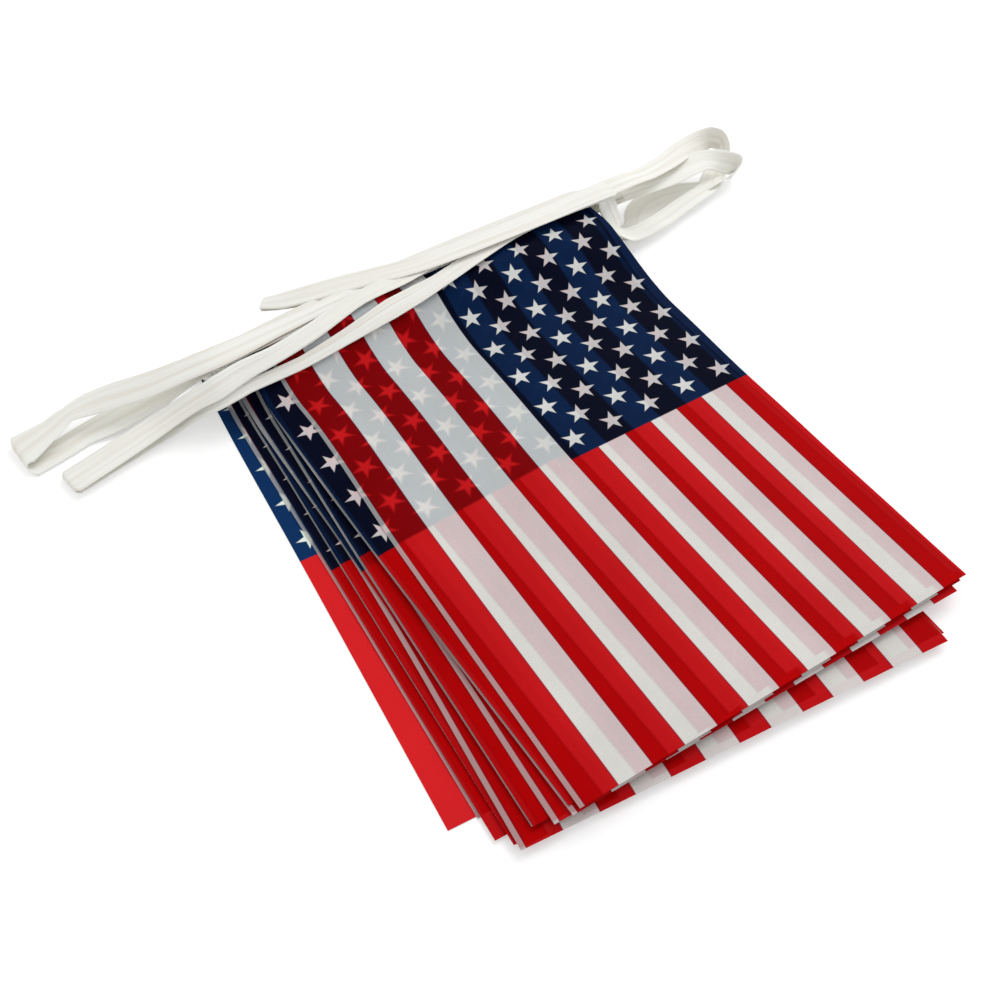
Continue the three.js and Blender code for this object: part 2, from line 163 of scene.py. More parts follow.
LEAD = tape_rows(
    (-471, -25, 1.2, 0, 24), (-435, -19, 1.2), (-407, -15, 3), (-386, -16, 9, 8),
    (-372, -21, 17.5, 20, 18), (-354, -31, 27.8, 32, 14), (-330, -31.3, 29.4, 34, 10),
    (-300, -31.7, 30.6, 33, 10), (-286, -31.6, 31.3, 32, 10), (-248, -28.1, 34.8, 30, 12),
    (-206, -23.5, 39.6, 23, 17), (-182, -21.3, 41.4, 18, 16), (-161, -19, 43.1, 11, 14),
    (-125, -11.5, 45.1, 2, 15), (-80, -1, 45.4, 0, 16), (-35, 3, 45.4, 0, 19), (10, 4, 45.4),
    (32, 6, 44.4), (50, 11, 39.5), (66, 16, 34), (84, 22, 29.5), (104, 29, 26, 4),
    (124, 38, 21.5, 12), (142, 45, 16.5, 30), (160, 50, 13, 56), (171, 50, 12, 78),
    (176, 43, 11, 84), (172, 35, 8.6, 56), (164, 28, 4.5, 20), (154, 20, 3.2, 8), (142, 11, 4, 8),
    (128, 0, 6.5, 8), (109, -5.5, 7.5, 6), (90, -9.5, 7, 4), (70, -14.5, 7, 4),
    (54, -18.5, 8.5, 4), (38, -20.5, 8.5), (24, -20.5, 11), (15, -18, 20, 0, 19),
    (12, -9, 31, 0, 18), (11, -1, 40, 0, 18), (5, 5, 43.3, 0, 19), (-20, 7, 43.4), (-100, 7, 43.4),
    (-200, 3, 43.4), (-239, 3, 43.4, 0, 16), (-265, 1, 43.4, 0, 15), (-292, -1, 43.4, 0, 17),
    (-321, -3, 43.2, 0, 21), (-345, -3, 42, -4, 22), (-368, 3, 36, -10, 21),
    (-391, 11, 28, -16, 22), (-416, 21, 21, -20, 22), (-436, 27, 17, -18, 19),
    (-452, 28, 14.5, -10, 14), (-467, 24, 11.5), (-491, 19, 7.5, 0, 32),
)
RETURN = tape_rows(
    (-489, 11, 1.2, 0, 32), (-466, 11, 1.2, 0, 22), (-447, 15, 1.5, 0, 22), (-426, 15, 4, 0, 27),
    (-404, 13, 9, 0, 28), (-382, 7, 18, 0, 26), (-364, 1, 29), (-346, -2, 38.3), (-331, -4, 41.1),
)
SIDE_LOOP = tape_rows(
    (10, 15, 22.5), (44, 17, 22.5, 0, 24), (76, 17, 22, 2, 28), (101, 19, 20, 4, 28),
    (120, 21, 18.5, 4, 26), (136, 20, 18.5, 14, 22), (145, 17, 17.5, 32), (153, 12.5, 15.5, 54),
    (163, 4, 12.4, 74), (158, -1, 10.8, 68), (146, -1, 8.8, 44), (126, 4, 5, 16, 22),
    (104, 11, 3.2, 4, 28), (84, 13, 3.1, 0, 28), (68, 11, 3, 0, 28), (56, 5, 3, 0, 26),
    (46, -5, 3.2, 0, 22), (38, -10, 3.5), (26, -10, 4), (14, -8, 10), (2, -8, 17.8),
)
LAST_END = TapeRow(-364, 41.2, 0.5)


def hermite(t: Array | float) -> tuple[Array | float, ...]:
    """Weights of a cubic curve between two points.

    Args:
        t: Share of the way from the first to the second.

    Returns:
        Weights of the first point, its slope, the second point and its slope.
    """
    return (
        2 * t**3 - 3 * t**2 + 1,
        t**3 - 2 * t**2 + t,
        -2 * t**3 + 3 * t**2,
        t**3 - t**2,
    )


def blend(first: Array | float, second: Array | float, step: int, steps: int) -> object:
    """Goes from one value towards another.

    Args:
        first: Value at step 0.
        second: Value at the last step.
        step: The step.
        steps: How many there are.

    Returns:
        The value at that step.
    """
    return first + (second - first) * step / steps


def smooth_curve(points: Array, steps: int) -> tuple[Array, Array]:
    """Centripetal Catmull-Rom curve through points.

    Args:
        points: Rows of coordinates.
        steps: Samples between one point and the next.

    Returns:
        The samples and the curve's unit direction at each.
    """
    shortest, still = 1e-4, 1e-9
    first = 2 * points[0] - points[1]
    last = 2 * points[-1] - points[-2]
    padded = np.vstack([first, points, last])
    places, directions = [], []
    for k in range(len(points) - 1):
        p0, p1, p2, p3 = padded[k : k + 4]
        pairs = ((p0, p1), (p1, p2), (p2, p3))
        d0, d1, d2 = (max(np.linalg.norm(b - a) ** 0.5, shortest) for a, b in pairs)
        m1 = ((p1 - p0) / d0 - (p2 - p0) / (d0 + d1) + (p2 - p1) / d1) * d1
        m2 = ((p2 - p1) / d1 - (p3 - p1) / (d1 + d2) + (p3 - p2) / d2) * d1
        count = steps + 1 if k == len(points) - 2 else steps
        for i in range(count):
            t = i / steps
            start, leaving, end, arriving = hermite(t)
            direction = (
                (6 * t**2 - 6 * t) * p1
                + (3 * t**2 - 4 * t + 1) * m1
                + (-6 * t**2 + 6 * t) * p2
                + (3 * t**2 - 2 * t) * m2
            )
            places.append(start * p1 + leaving * m1 + end * p2 + arriving * m2)
            directions.append(direction / max(np.linalg.norm(direction), still))
    return np.array(places), np.array(directions)


@dataclass
class Pile:
    """The heap that the flags make, in millimetres; its layers count from 0 at the top."""

    cloth: float = 1.0
    gap: float = 0.3
    length: float = 440.0
    shoulder: float = 90.0
    middle: float = 218.0
    taped_rise: float = 24.0
    rise_line: float = 6.0
    rise_lean: float = 0.865
    rise_lean_width: float = 300.0
    slump_width: float = 320.0
    slump_top: float = -10.0
    slump_depth: float = 200.0
    rise_below: tuple[float, ...] = (0, 28, 36, 46, 60, 75, 90, 105, 116, 124)
    rise_share: tuple[float, ...] = (1, 1, 0.95, 0.81, 0.58, 0.35, 0.18, 0.06, 0.01, 0)
    slip_rounds: int = 5
    place_rounds: int = 6
    table_steps: int = 220
    first_across: float = 150.0
    places: tuple[FlagPlace, ...] = FLAG_PLACES
    shift: Array = field(default_factory=lambda: np.zeros(3))

    @property
    def lowest(self) -> int:
        """Index of the bottom layer."""
        return len(self.places) - 1

    def facing(self, layer: int) -> Facing:
        """Side of a flag's star field, which alternates down the pile.

        Args:
            layer: The layer.

        Returns:
            The side.
        """
        return Facing.LEFT if layer % 2 else Facing.RIGHT

    def height(self, layer: int, x: Array | float, y: Array | float) -> Array | float:
        """Height of a layer's middle surface.

        Args:
            layer: The layer.
            x: Plan X.
            y: Plan Y.

        Returns:
            Z at each place.
        """
        under = self.lowest - layer
        rise = self.taped_rise * under / self.lowest
        lean = 1 + self.rise_lean * np.maximum(-x, 0) / self.rise_lean_width
        share = np.interp((self.rise_line - y) * lean, self.rise_below, self.rise_share)
        return self.cloth / 2 + under * (self.cloth + self.gap) + rise * share

    def edge(self, layer: int, down: Array) -> tuple[Array, Array, Array]:
        """Left edge of a flag.

        Args:
            layer: The layer.
            down: Distances below the tape.

        Returns:
            x, y and the turn in radians at each distance.
        """
        place = self.places[layer]
        stations = np.array([0, self.shoulder, self.middle, self.length])
        turns = place.turn_top + (place.turn_low - place.turn_top) * stations / self.length
        shoulder_y = place.middle_y + self.middle - self.shoulder
        edge_x = (place.top_x, place.shoulder_x, place.middle_x, place.low_x)
        edge_y = (place.top_y, shoulder_y, place.middle_y, place.low_y)
        rows = np.column_stack([edge_x, edge_y, turns])
        last = len(stations) - 1
        before, after = (np.clip(np.arange(last + 1) + step, 0, last) for step in (-1, 1))
        slopes = (rows[after] - rows[before]) / (stations[after] - stations[before])[:, None]
        k = np.clip(np.searchsorted(stations, down, side="right") - 1, 0, last - 1)
        span = (stations[k + 1] - stations[k])[:, None]
        start, leaving, end, arriving = hermite((down - stations[k])[:, None] / span)
        found = start * rows[k] + leaving * slopes[k] * span
        found = found + end * rows[k + 1] + arriving * slopes[k + 1] * span
        return found[:, 0], found[:, 1], np.radians(found[:, 2])

    def width(self, layer: int, down: Array) -> Array:
        """Width of a flag.

        Args:
            layer: The layer.
            down: Distances below the tape.

        Returns:
            The width at each distance.
        """
        place = self.places[layer]
        share = np.maximum(down - self.shoulder, 0) / (self.length - self.shoulder)
        return place.waist + (place.width - place.waist) * share

    def slump(self, layer: int, x: Array | float, y: Array | float) -> Array | float:
        """How far a flag and its strand have slipped down at the left.

        Args:
            layer: The layer.
            x: Plan X.
            y: Plan Y before the slip.

        Returns:
            The slip towards -Y at each place.
        """
        side = np.maximum(-x, 0) / self.slump_width
        up = np.clip((y - self.slump_top) / self.slump_depth + 1, 0, 1)
        return self.places[layer].slump * side**3 * up * up * (3 - 2 * up)

    def plan(self, layer: int, across: Array, down: Array) -> tuple[Array, Array]:
        """Plan position on a flag.

        Args:
            layer: The layer.
            across: Distances from the left edge.
            down: Distances below the tape.

        Returns:
            x and y.
        """
        x, y, turn = self.edge(layer, down)
        x, y = x + across * np.cos(turn), y - across * np.sin(turn)
        return x, y - self.slump(layer, x, y)

    def locate(self, layer: int, x: Array, y: Array) -> tuple[Array, Array]:
        """Where a plan point falls on a flag.

        Args:
            layer: The layer.
            x: Plan X.
            y: Plan Y.

        Returns:
            Distance across from the left edge and distance down from the tape.
        """
        slipped = y
        for _ in range(self.slip_rounds):
            y = slipped + self.slump(layer, x, y)
        down_table = np.linspace(0, self.length, self.table_steps + 1)
        _, y_table, _ = self.edge(layer, down_table)
        across = np.full_like(x, self.first_across)
        down = np.zeros_like(x)
        for _ in range(self.place_rounds):
            _, _, turn = self.edge(layer, np.clip(down, 0, self.length))
            level = y + across * np.sin(turn)
            down = np.interp(-level, -y_table, down_table)
            down += np.clip(level, y_table[-1], y_table[0]) - level
            edge_x, _, turn = self.edge(layer, np.clip(down, 0, self.length))
            across = (x - edge_x) / np.cos(turn)
        return across, down

    def to_scene(self, x: Array, y: Array, z: Array) -> Array:
        """Turns pile millimetres into scene metres.

        Args:
            x: Pile X.
            y: Pile Y.
            z: Pile Z.

        Returns:
            Points, one row each.
        """
        return (np.column_stack([np.ravel(x), np.ravel(y), np.ravel(z)]) + self.shift) * MM


class NodeSheet:
    """Short ways to lay out shader nodes."""

    def __init__(self, tree: bpy.types.NodeTree) -> None:
        """Keeps the tree.

        Args:
            tree: The node tree to fill.
        """
        self.tree = tree

    def add(
        self, kind: str, inputs: dict[str | int, object] | None = None, **settings: object
    ) -> bpy.types.Node:
        """Adds a node.

        Args:
            kind: Node type name.
            inputs: What goes into it, by name or number: an output, a number or a tuple.
            settings: Attributes to set on it.

        Returns:
            The node.
        """
        node = self.tree.nodes.new(kind)
        for name, value in settings.items():
            setattr(node, name, value)
        for name, value in (inputs or {}).items():
            self.feed(node.inputs[name], value)
        return node

    def feed(self, socket: Socket, value: object) -> None:
        """Links or sets an input.

        Args:
            socket: The input.
            value: An output, a number or a tuple.
        """
        if isinstance(value, Socket):
            self.tree.links.new(value, socket)
        else:
            socket.default_value = value

    def math(self, operation: str, *values: object) -> Socket:
        """Adds a Math node.

        Args:
            operation: Its operation.
            values: Its inputs.

        Returns:
            Its output.
        """
        return self.add("ShaderNodeMath", dict(enumerate(values)), operation=operation).outputs[0]

    def seen(self) -> Socket:
        """1 for what the camera sees, straight, mirrored or through glass; 0 for other light.

        Returns:
            The mask.
        """
        path = self.add("ShaderNodeLightPath")
        mask = path.outputs["Is Camera Ray"]
        for kind in ("Is Glossy Ray", "Is Transmission Ray"):
            mask = self.math("MAXIMUM", mask, path.outputs[kind])
        return mask

    def soft_step(self, distance: object, softness: object) -> Socket:
        """0 well outside an edge, 1 well inside it.

        Args:
            distance: Distance inside the edge.
            softness: Half width of the blend.

        Returns:
            The mask.
        """
        outside = self.math("MULTIPLY", softness, -1.0)
        inputs = {"Value": distance, "From Min": outside, "From Max": softness}
        node = self.add("ShaderNodeMapRange", inputs, interpolation_type="SMOOTHSTEP")
        return node.outputs["Result"]

    def mix(self, factor: object, first: object, second: object, way: str = "MIX") -> Socket:
        """Mixes two colours.

        Args:
            factor: Share of the second.
            first: A colour.
            second: A colour.
            way: Blend type.

        Returns:
            The mixed colour.
        """
        inputs = {0: factor, 6: first, 7: second}
        return self.add("ShaderNodeMix", inputs, data_type="RGBA", blend_type=way).outputs[2]

    def surface(self, colour: Socket, roughness: float, specular: float, normal: Socket) -> None:
        """Ends the tree in a plain surface.

        Args:
            colour: Its colour.
            roughness: Its roughness.
            specular: How much light it mirrors.
            normal: Its direction.
        """
        inputs = {
            "Base Color": colour,
            "Roughness": roughness,
            "Specular IOR Level": specular,
            "Normal": normal,
        }
        shader = self.add("ShaderNodeBsdfPrincipled", inputs)
        self.add("ShaderNodeOutputMaterial", {"Surface": shader.outputs[0]})


def new_material(name: str) -> tuple[bpy.types.Material, NodeSheet]:
    """Makes a material with nothing in it yet.

    Args:
        name: Its name.

    Returns:
        The material and the sheet for its nodes.
    """
    material = bpy.data.materials.new(name)
    material.use_nodes = True
    material.node_tree.nodes.clear()
    return material, NodeSheet(material.node_tree)


@dataclass(frozen=True)
class Ink:
    """A print colour as light sent back and light let through, linear."""

    sent_back: Colour
    let_through: Colour


@dataclass(frozen=True)
class FlagPrint:
    """Layout of the printed flag, in millimetres from its star-field corner."""

    stripe: float = 23.45
    width: float = 307.9
    length: float = 440.0
    stripes: int = 13
    canton_stripes: int = 7
    canton_length: float = 215.0
    star_across: float = 16.8
    star_down: float = 18.26
    star_shift: float = 1.8
    star_radius: float = 9.4
    pairs_across: int = 4
    pairs_down: int = 5
    overlap: float = 0.55
    overlap_strength: float = 0.6
    cut_softness: float = 0.3
    white: Ink = Ink((0.475, 0.5, 0.505, 1), (0.31, 0.265, 0.215, 1))
    red: Ink = Ink((0.19, 0.0003, 0.001, 1), (0.5, 0.012, 0.015, 1))
    blue: Ink = Ink((0.0008, 0.0026, 0.011, 1), (0.004, 0.021, 0.08, 1))
    bare: Ink = Ink((0.26, 0.265, 0.265, 1), (0.4, 0.38, 0.36, 1))
    doubled: Ink = Ink((0.09, 0.004, 0.012, 1), (0.25, 0.02, 0.03, 1))

    def star_mask(
        self, sheet: NodeSheet, across: object, down: object, softness: object, odd: bool
    ) -> Socket:
        """Mask of one of the two star lattices.

        Args:
            sheet: Where the nodes go.
            across: Distance from the star-field edge.
            down: Distance from the tape.
            softness: Half width of the edge blend.
            odd: Whether the lattice of odd rows is meant.

        Returns:
            1 inside a star.
        """
        calc = sheet.math
        shift, least = (0.5, 0.0) if odd else (0.0, 1.0)
        lowered = calc("ADD", down, self.star_shift)
        lattice = (
            (across, self.star_across, self.pairs_across),
            (lowered, self.star_down, self.pairs_down),
        )
        offsets = []
        for value, pitch, most in lattice:
            index = calc("ROUND", calc("SUBTRACT", calc("DIVIDE", value, 2 * pitch), shift))
            index = calc("MAXIMUM", calc("MINIMUM", index, float(most)), least)
            centre = calc("MULTIPLY", calc("ADD", index, shift), 2 * pitch)
            offsets.append(calc("SUBTRACT", value, centre))
        squares = [calc("MULTIPLY", offset, offset) for offset in offsets]
        radius = calc("SQRT", calc("ADD", *squares))
        angle = calc("ARCTAN2", offsets[1], calc("MULTIPLY", offsets[0], -1.0))
        turn = 2 * math.pi / STAR_POINTS
        point = calc("MULTIPLY", calc("ROUND", calc("DIVIDE", angle, turn)), turn)
        folded = calc("ABSOLUTE", calc("SUBTRACT", angle, point))
        reach = calc("MULTIPLY", radius, calc("COSINE", calc("SUBTRACT", folded, turn)))
        inside = calc("SUBTRACT", self.star_radius * math.cos(turn), reach)
        return sheet.soft_step(inside, softness)

    def group(self) -> bpy.types.NodeTree:
        """Builds the node group that reads the print at a place on the flag.

        Returns:
            The group: Place and Softness in; Sent Back, Let Through and Cover out.
        """
        tree = bpy.data.node_groups.new("flag_print", "ShaderNodeTree")
        for name, side, kind in (
            ("Place", "INPUT", "Vector"),
            ("Softness", "INPUT", "Float"),
            ("Sent Back", "OUTPUT", "Color"),
            ("Let Through", "OUTPUT", "Color"),
            ("Cover", "OUTPUT", "Float"),
        ):
            tree.interface.new_socket(name, in_out=side, socket_type=f"NodeSocket{kind}")
        sheet = NodeSheet(tree)
        calc = sheet.math
        given = sheet.add("NodeGroupInput")
        made = sheet.add("NodeGroupOutput")
        softness = given.outputs["Softness"]
        split = sheet.add("ShaderNodeSeparateXYZ", {0: given.outputs["Place"]})
        across = calc("MULTIPLY", split.outputs[0], self.width)
        down = calc("MULTIPLY", split.outputs[1], self.length)
        wave = calc("SINE", calc("MULTIPLY", across, math.pi / self.stripe))
        from_edge = calc("MULTIPLY", wave, self.stripe / math.pi)
        striped = sheet.soft_step(from_edge, softness)
        off_line = calc("ABSOLUTE", calc("SUBTRACT", from_edge, self.overlap))
        line = sheet.soft_step(calc("SUBTRACT", self.overlap, off_line), softness)
        line = calc("MULTIPLY", line, self.overlap_strength)
        past_stripes = calc("SUBTRACT", self.stripe * self.stripes, across)
        printed = sheet.soft_step(past_stripes, softness)
        beside = calc("SUBTRACT", self.stripe * self.canton_stripes, across)
        below = calc("SUBTRACT", self.canton_length, down)
        in_canton = sheet.soft_step(calc("MINIMUM", beside, below), softness)
        lattices = [self.star_mask(sheet, across, down, softness, odd) for odd in (True, False)]
        stars = calc("MAXIMUM", *lattices)
        inks = (self.white, self.red, self.blue, self.bare, self.doubled)
        for name, part in (("Sent Back", "sent_back"), ("Let Through", "let_through")):
            white, red, blue, bare, doubled = (getattr(ink, part) for ink in inks)
            field_colour = sheet.mix(stars, blue, white)
            stripes_colour = sheet.mix(line, sheet.mix(striped, white, red), doubled)
            stripes_colour = sheet.mix(printed, bare, stripes_colour)
            sheet.feed(made.inputs[name], sheet.mix(in_canton, stripes_colour, field_colour))
        nearest = calc("MINIMUM", across, calc("SUBTRACT", self.width, across))
        for margin in (down, calc("SUBTRACT", self.length, down)):
            nearest = calc("MINIMUM", nearest, margin)
        sheet.feed(made.inputs["Cover"], sheet.soft_step(nearest, self.cut_softness))
        return tree


@dataclass(frozen=True)
class Mottle:
    """A faint unevenness of tone: how fine it is and how far it darkens and lightens."""

    scale: float
    detail: float
    tones: tuple[float, float]


@dataclass(frozen=True)
class PrintedCloth:
    """Thin printed polyester: the print, what shows through from beneath, painted light from the
    table under the lowest flags, and a fine weave.
    """

    roughness: float = 0.5
    specular: float = 0.015
    softness: tuple[float, float, float] = (0.35, 1.3, 3.0)
    deep_colour: Colour = (0.62, 0.45, 0.47, 1)
    # Painted light: the white table's light seen through the lowest flags, set above white so that
    # they stay bright in the pile's shade.
    painted_table_light: Colour = (0.97, 1.33, 1.27, 1)
    clouds: Mottle = Mottle(18.0, 3.0, (0.94, 1.04))
    grain: Mottle = Mottle(1400.0, 1.0, (0.955, 1.045))
    noise_range: tuple[float, float] = (0.3, 0.7)
    threads: tuple[float, float] = (700.0, 900.0)
    threads_in_band: float = 3.0
    thread_waver: float = 0.4
    weave_strength: float = 0.3
    weave_height: float = 0.00008

    def material(
        self, name: str, print_group: bpy.types.NodeTree, under: int
    ) -> bpy.types.Material:
        """Makes the cloth's material.

        Args:
            name: Material name.
            print_group: The group that reads the print.
            under: How many flags lie beneath.

        Returns:
            The material.
        """
        material, sheet = new_material(name)
        shown = list(zip(PLACE_LAYERS, self.softness))[: under + 1]
        deep = len(shown) == len(PLACE_LAYERS)
        # Beneath the two lowest flags lies the table, painted as light coming through the cloth.
        colour: object = self.deep_colour if deep else self.painted_table_light
        for layer_name, softness in reversed(shown):
            place = sheet.add("ShaderNodeUVMap", uv_map=layer_name)
            inputs = {"Place": place.outputs[0], "Softness": softness}
            reader = sheet.add("ShaderNodeGroup", inputs, node_tree=print_group)
            lit = sheet.mix(1.0, reader.outputs["Let Through"], colour, "MULTIPLY")
            lit = sheet.mix(1.0, reader.outputs["Sent Back"], lit, "ADD")
            own = layer_name == PLACE_LAYERS[0]
            colour = lit if own else sheet.mix(reader.outputs["Cover"], colour, lit)
        self.finish(sheet, colour)
        return material

    def finish(self, sheet: NodeSheet, colour: Socket) -> None:
        """Adds the unevenness, the weave and the surface.

        Args:
            sheet: Where the nodes go.
            colour: The printed colour.
        """
        solid = sheet.add("ShaderNodeTexCoord").outputs["Object"]
        for mottle in (self.clouds, self.grain):
            inputs = {"Vector": solid, "Scale": mottle.scale, "Detail": mottle.detail}
            noise = sheet.add("ShaderNodeTexNoise", inputs).outputs["Fac"]
            limits = zip(RANGE_INPUTS, (*self.noise_range, *mottle.tones))
            tone = sheet.add("ShaderNodeMapRange", {"Value": noise, **dict(limits)})
            colour = sheet.mix(1.0, colour, tone.outputs["Result"], "MULTIPLY")
        place = sheet.add("ShaderNodeUVMap", uv_map=PLACE_LAYERS[0])
        bands = []
        for direction, count in zip("XY", self.threads):
            scale = count / (2 * math.pi) / self.threads_in_band
            inputs = {"Vector": place.outputs[0], "Scale": scale, "Distortion": self.thread_waver}
            band = sheet.add("ShaderNodeTexWave", inputs, bands_direction=direction)
            bands.append(band.outputs["Fac"])
        inputs = {
            "Height": sheet.math("MULTIPLY", *bands),
            "Strength": self.weave_strength,
            "Distance": self.weave_height,
        }
        weave = sheet.add("ShaderNodeBump", inputs)
        sheet.surface(colour, self.roughness, self.specular, weave.outputs["Normal"])


@dataclass(frozen=True)
class Pleats:
    """Irregular folds: how close along and across the band, how detailed and how deep."""

    along: float
    across: float
    detail: float
    seed: float
    share: float


@dataclass(frozen=True)
class WovenTape:
    """Off-white woven band: folded double, softly pleated along its length, with fine ribs and
    painted shade in its pleats.
    """

    colour: Colour = (0.888, 0.893, 0.843, 1)
    # Painted shade, for the hollows of the pleats.
    shade: Colour = (0.8, 0.765, 0.69, 1)
    shade_range: tuple[float, float] = (0.5, 0.85)
    roughness: float = 0.6
    specular: float = 0.2
    ribs: float = 22.0
    rib_height: float = 0.00006
    rib_strength: float = 0.35
    pleats: tuple[Pleats, ...] = (Pleats(5, 4.5, 2, 0, 1), Pleats(16, 9, 3, 7, 0.45))
    pleat_height: float = 0.0012
    pleat_strength: float = 0.8

    def material(self) -> bpy.types.Material:
        """Makes the tape's material.

        Returns:
            The material.
        """
        material, sheet = new_material("woven_tape")
        calc = sheet.math
        place = sheet.add("ShaderNodeUVMap", uv_map="band")
        split = sheet.add("ShaderNodeSeparateXYZ", {0: place.outputs[0]})
        along, across = split.outputs[0], split.outputs[1]
        folds: object = 0.0
        for pleats in self.pleats:
            stretches = ((along, pleats.along), (across, pleats.across))
            spots = [calc("MULTIPLY", *stretch) for stretch in stretches]
            spot = sheet.add("ShaderNodeCombineXYZ", dict(enumerate((*spots, pleats.seed))))
            inputs = {"Vector": spot.outputs[0], "Scale": 1.0, "Detail": pleats.detail}
            noise = sheet.add("ShaderNodeTexNoise", inputs).outputs["Fac"]
            folds = calc("ADD", folds, calc("MULTIPLY", noise, pleats.share))
        ribs = calc("SINE", calc("MULTIPLY", across, 2 * math.pi * self.ribs))
        # Painted shade: the colour darkens towards shade where the pleat noise is low, in the
        # hollows of the folds.
        limits = zip(RANGE_INPUTS, self.shade_range)
        tone = sheet.add("ShaderNodeMapRange", {"Value": folds, **dict(limits)})
        colour = sheet.mix(tone.outputs["Result"], self.shade, self.colour)
        inputs = {}
        for height, strength, distance in (
            (folds, self.pleat_strength, self.pleat_height),
            (ribs, self.rib_strength, self.rib_height),
        ):
            inputs |= {"Height": height, "Strength": strength, "Distance": distance}
            inputs["Normal"] = sheet.add("ShaderNodeBump", inputs).outputs["Normal"]
        sheet.surface(colour, self.roughness, self.specular, inputs["Normal"])
        return material


def grid_faces(rows: int, columns: int) -> Array:
    """Quads of a grid of points stored row by row.

    Args:
        rows: Rows of points.
        columns: Points in a row.

    Returns:
        Four indices for each quad, facing up when rows run towards -Y and columns towards +X.
    """
    first = (np.arange(rows - 1)[:, None] * columns + np.arange(columns - 1)[None, :]).ravel()
    return np.column_stack([first, first + columns, first + columns + 1, first + 1])


def mesh_object(
    name: str, points: Array, faces: Array, material: bpy.types.Material
) -> bpy.types.Object:
    """Makes a smooth mesh object.

    Args:
        name: Object name.
        points: Vertices in metres.
        faces: Quads.
        material: Its finish.

    Returns:
        The object, linked to the scene.
    """
    mesh = bpy.data.meshes.new(name)
    mesh.from_pydata(points.tolist(), [], faces.tolist())
    mesh.validate()
    mesh.polygons.foreach_set("use_smooth", [True] * len(mesh.polygons))
    mesh.materials.append(material)
    made = bpy.data.objects.new(name, mesh)
    bpy.context.scene.collection.objects.link(made)
    return made


def paint_places(made: bpy.types.Object, name: str, places: Array) -> None:
    """Stores a place per vertex as a UV layer.

    Args:
        made: The object.
        name: Layer name.
        places: Two numbers for each vertex.
    """
    layer = made.data.uv_layers.new(name=name)
    index = np.empty(len(made.data.loops), dtype=np.int32)
    made.data.loops.foreach_get("vertex_index", index)
    layer.data.foreach_set("uv", places[index].astype(np.float32).ravel())


@dataclass
class Flag:
    """One printed flag of the pile: its cut, its free edges and where the print sits on it."""

    pile: Pile
    layer: int
    across_steps: int = 48
    down_steps: int = 110
    edge_droop: float = 0.9
    droop_reach: float = 7.0
    curl: float = 0.35
    held_part: float = 40.0
    freed_over: float = 60.0
    wave_spans: tuple[float, float, float] = (23.0, 61.0, 47.0)
    wave_shift: float = 1.7
    print_width: float = FlagPrint.width
    cut_width: float = 312.0
    true_part: float = 166.0
    trimmed: float = 2.7
    star_creep: float = 3.5
    field_drops: tuple[float, float] = (9.0, 4.0)

    @property
    def node(self) -> str:
        """Name of the flag's solid."""
        return f"flag_{self.layer + 1:02d}"

    def print_place(self, layer: int, across: Array, down: Array) -> Array:
        """Place on a flag's print.

        Args:
            layer: The flag's layer.
            across: Distance from its left edge.
            down: Distance below the tape.

        Returns:
            Shares of its width and length, from the star-field corner.
        """
        pile = self.pile
        on_flag = np.clip(down, 0, pile.length)
        width = pile.width(layer, on_flag)
        stars_right = pile.facing(layer) is Facing.RIGHT
        if stars_right:
            width = width + self.trimmed
        inward = width - across if stars_right else across
        true_part, full = self.true_part, self.print_width
        drawn = true_part + (inward - true_part) * (full - true_part) / (width - true_part)
        inward = np.where(inward < true_part, inward, drawn)
        if not stars_right:
            edge_x, edge_y, turn = pile.edge(layer, on_flag)
            x, y = edge_x + across * np.cos(turn), edge_y - across * np.sin(turn)
            in_field = np.clip(1 - inward / true_part, 0, 1)
            drop = self.field_drops[0] if layer == 1 else self.field_drops[1]
            down = down + pile.slump(layer, x, y) - drop * in_field
            inward = inward + self.star_creep * in_field
        return np.column_stack([inward / full, down / pile.length])

    def droop(self, across: Array, down: Array) -> Array:
        """How far the cloth's free edges sink on to the sheet beneath.

        Args:
            across: Distance from its left edge.
            down: Distance below the tape.

        Returns:
            Drop at each place.
        """
        if self.layer == self.pile.lowest:
            return np.zeros_like(across)
        width = self.pile.width(self.layer, down)
        inside = np.minimum(np.minimum(across, width - across), self.pile.length - down)
        near = np.clip(1 - inside / self.droop_reach, 0, 1)
        phase = self.layer * self.wave_shift
        short, long, sideways = self.wave_spans
        waves = np.sin(down / short + phase) * np.sin(down / long + across / sideways + 2 * phase)
        free = np.clip((down - self.held_part) / self.freed_over, 0, 1)
        return near**2 * (self.edge_droop - self.curl * (1 + waves) * free)

    def build(self, finish: PrintedCloth, print_group: bpy.types.NodeTree) -> bpy.types.Object:
        """Makes the sheet with its print and what lies beneath it.

        Args:
            finish: The cloth's finish.
            print_group: The group that reads the print.

        Returns:
            The flag.
        """
        pile = self.pile
        down, across = np.meshgrid(
            np.linspace(0, pile.length, self.down_steps + 1),
            np.linspace(0, 1, self.across_steps + 1),
            indexing="ij",
        )
        across, down = across.ravel(), down.ravel()
        across = across * pile.width(self.layer, down)
        x, y = pile.plan(self.layer, across, down)
        z = pile.height(self.layer, x, y) - self.droop(across, down)
        under = pile.lowest - self.layer
        material = finish.material(f"printed_cloth_{self.layer + 1:02d}", print_group, under)
        faces = grid_faces(self.down_steps + 1, self.across_steps + 1)
        made = mesh_object(f"{self.node}_cloth", pile.to_scene(x, y, z), faces, material)
        for depth, name in enumerate(PLACE_LAYERS[: under + 1]):
            found = pile.locate(self.layer + depth, x, y) if depth else (across, down)
            paint_places(made, name, self.print_place(self.layer + depth, *found))
        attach(made, BODY)
        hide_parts(self.node)
        return made


@dataclass
class Station:
    """One cross-section of the tape."""

    point: Array
    tangent: Array
    width: Array
    spread: float


